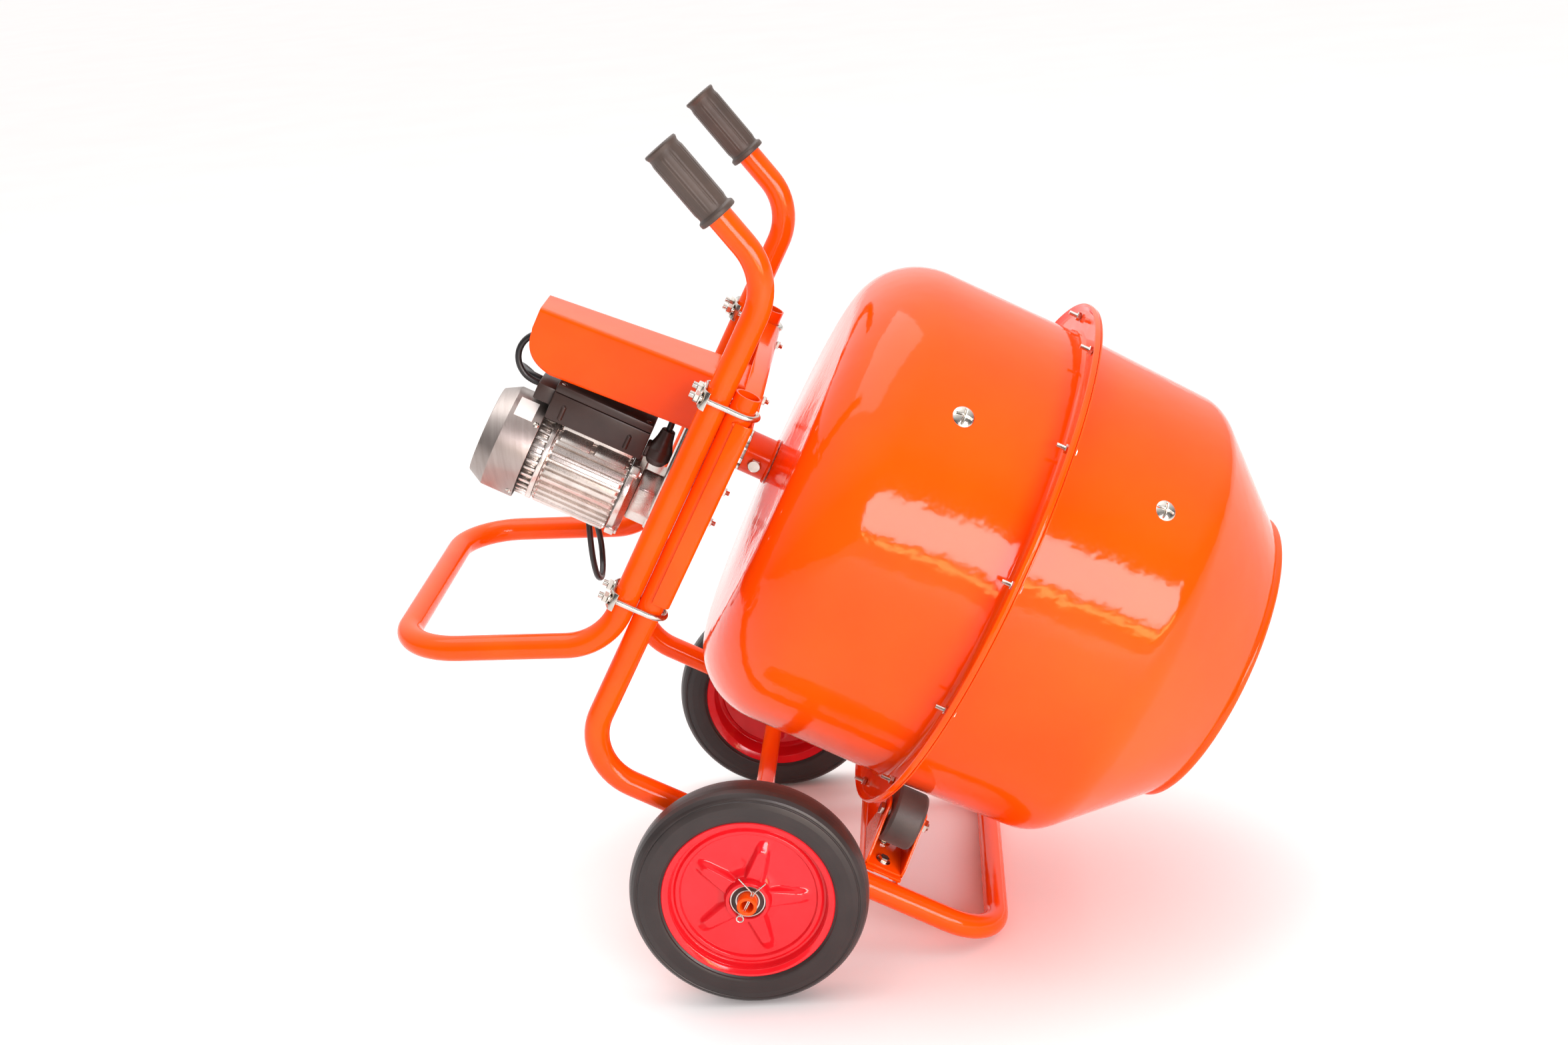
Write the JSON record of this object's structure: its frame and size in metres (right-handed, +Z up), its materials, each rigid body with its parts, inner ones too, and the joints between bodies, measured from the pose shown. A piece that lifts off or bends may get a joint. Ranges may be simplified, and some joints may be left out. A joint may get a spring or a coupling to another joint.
{
  "type": "concrete mixer",
  "caption": "Hand-pushed electric concrete mixer: tilted steel drum on a tubular wheeled stand with a geared motor, rubber grips and two support rollers.",
  "frame": {"origin": "centre of the footprint at floor level, under the middle of the bounding box", "axes": "+Z up, +X towards the drum mouth, +Y to the far side; the wheels turn about Y"},
  "size_m": [1.1364, 0.714, 1.0794],
  "materials": {
    "orange_paint": "glossy bright orange enamel",
    "red_paint": "glossy red enamel on pressed steel",
    "grip_rubber": "moulded soft rubber with fine lengthwise ridges, satin",
    "tyre_rubber": "smooth moulded black rubber, satin",
    "roller_rubber": "grey-brown rubber, matte",
    "zinc_plate": "bright zinc plate",
    "bare_steel": "machined steel",
    "cast_aluminium": "cast and brushed aluminium",
    "copper_winding": "varnished copper windings on laminated steel",
    "black_plastic": "moulded black plastic",
    "cable_sheath": "smooth black cable sheath",
    "green_plastic": "moulded green plastic",
    "red_plastic": "moulded red plastic"
  },
  "bodies": {
    "mixer_frame": {"stand_frame": "orange_paint", "handle_frame": "orange_paint", "mounting_plate": "orange_paint", "axle": "orange_paint", "roller_beam": "orange_paint", "grip_near": "grip_rubber", "axle_saddle_near": "orange_paint", "split_pin_near": "zinc_plate", "roller_bracket_near": "orange_paint", "roller_pin_near": "zinc_plate", "u_bolt_upper_near": "zinc_plate", "clamp_plate_upper_near": "zinc_plate", "u_bolt_lower_near": "zinc_plate", "clamp_plate_lower_near": "zinc_plate", "grip_far": "grip_rubber", "axle_saddle_far": "orange_paint", "split_pin_far": "zinc_plate", "roller_bracket_far": "orange_paint", "roller_pin_far": "zinc_plate", "u_bolt_upper_far": "zinc_plate", "clamp_plate_upper_far": "zinc_plate", "u_bolt_lower_far": "zinc_plate", "clamp_plate_lower_far": "zinc_plate", "fan_cover": "cast_aluminium", "rear_shield": "cast_aluminium", "stator_housing": "cast_aluminium", "stator_core": "copper_winding", "front_shield": "cast_aluminium", "gearbox_case": "cast_aluminium", "gearbox_cover": "cast_aluminium", "bearing_flange": "bare_steel", "terminal_box": "black_plastic", "terminal_lid": "black_plastic", "cable_gland": "black_plastic", "motor_lead": "cable_sheath", "switch_lead": "cable_sheath", "slack_lead": "cable_sheath", "hood": "orange_paint", "switch_body": "black_plastic"},
    "drum": {"drum_lower": "orange_paint", "drum_upper": "orange_paint", "paddle_a": "bare_steel", "paddle_b": "bare_steel", "hub_socket": "orange_paint", "hub_bolt": "zinc_plate", "output_shaft": "bare_steel"},
    "layshaft": {"layshaft": "bare_steel"},
    "rotor": {"rotor": "bare_steel", "cooling_fan": "black_plastic"},
    "roller_near": {"roller_near": "roller_rubber"},
    "roller_far": {"roller_far": "roller_rubber"},
    "wheel_near": {"tyre_near": "tyre_rubber", "rim_near": "red_paint", "hub_bush_near": "black_plastic"},
    "wheel_far": {"tyre_far": "tyre_rubber", "rim_far": "red_paint", "hub_bush_far": "black_plastic"},
    "start_button": {"start_button": "green_plastic"},
    "stop_button": {"stop_button": "red_plastic"}
  },
  "joints": [
    {"name": "drum_spin", "type": "hinge", "parent": "mixer_frame", "child": "drum", "pos_m": [0.07706, 0, 0.52478], "axis": [0.8716, 0, -0.4902], "continuous": true},
    {"name": "layshaft_spin", "type": "hinge", "parent": "mixer_frame", "child": "layshaft", "pos_m": [-0.18897, 0.00542, 0.61277], "axis": [0.8716, 0, -0.4902], "continuous": true},
    {"name": "rotor_spin", "type": "hinge", "parent": "mixer_frame", "child": "rotor", "pos_m": [-0.32943, 0, 0.61803], "axis": [0.8716, 0, -0.4902], "continuous": true},
    {"name": "roller_near_spin", "type": "hinge", "parent": "mixer_frame", "child": "roller_near", "pos_m": [0.05897, -0.16, 0.17034], "axis": [0.8716, 0, -0.4902], "continuous": true},
    {"name": "roller_far_spin", "type": "hinge", "parent": "mixer_frame", "child": "roller_far", "pos_m": [0.05897, 0.16, 0.17034], "axis": [0.8716, 0, -0.4902], "continuous": true},
    {"name": "wheel_near_spin", "type": "hinge", "parent": "mixer_frame", "child": "wheel_near", "pos_m": [-0.13375, -0.2975, 0.15], "axis": [0, 1, 0], "continuous": true},
    {"name": "wheel_far_spin", "type": "hinge", "parent": "mixer_frame", "child": "wheel_far", "pos_m": [-0.13375, 0.2975, 0.15], "axis": [0, 1, 0], "continuous": true},
    {"name": "start_button_press", "type": "slide", "parent": "mixer_frame", "child": "start_button", "axis": [0, -1, 0], "range_m": [0, 0.003], "stiffness_N_per_m": 400},
    {"name": "stop_button_press", "type": "slide", "parent": "mixer_frame", "child": "stop_button", "axis": [0, -1, 0], "range_m": [0, 0.003], "stiffness_N_per_m": 400}
  ],
  "couplings": [
    {"joint": "layshaft_spin", "follows": "drum_spin", "ratio": -5},
    {"joint": "rotor_spin", "follows": "drum_spin", "ratio": 38},
    {"joint": "roller_near_spin", "follows": "drum_spin", "ratio": -8.2338},
    {"joint": "roller_far_spin", "follows": "drum_spin", "ratio": -8.2338}
  ]
}
